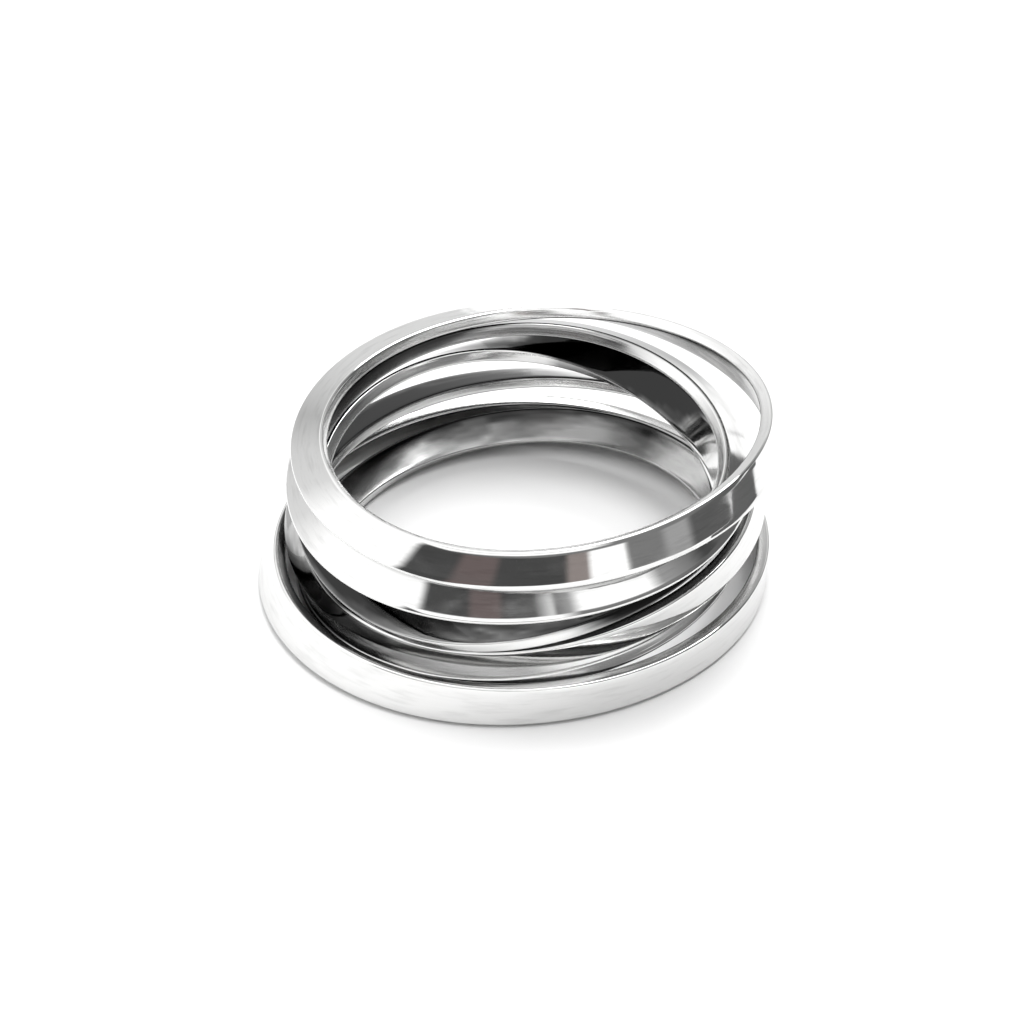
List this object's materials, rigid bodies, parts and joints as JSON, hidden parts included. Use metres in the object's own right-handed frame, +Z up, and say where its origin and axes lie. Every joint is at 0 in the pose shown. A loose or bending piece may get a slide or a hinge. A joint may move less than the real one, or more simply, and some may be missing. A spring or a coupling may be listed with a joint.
{
  "type": "twist ring",
  "caption": "Finger ring of flat silver strips, each closed into a band, nested and fanned out into a loose twisted stack that lies on its side.",
  "frame": {"origin": "on the surface that the ring lies on, under the middle of its outline seen from above", "axes": "+Z up through the finger hole, +X to the right and +Y to the back of the ring as it lies"},
  "size_m": [0.0237, 0.0232, 0.0096],
  "materials": {
    "top_band": "polished silver with fine scratches",
    "second_band": "polished silver with fine scratches",
    "third_band": "polished silver with fine scratches",
    "fourth_band": "polished silver with fine scratches",
    "fifth_band": "polished silver with fine scratches",
    "bottom_band": "polished silver with fine scratches"
  },
  "bodies": {
    "root": {"top_band": "top_band", "second_band": "second_band", "third_band": "third_band", "fourth_band": "fourth_band", "fifth_band": "fifth_band", "bottom_band": "bottom_band"}
  },
  "joints": []
}
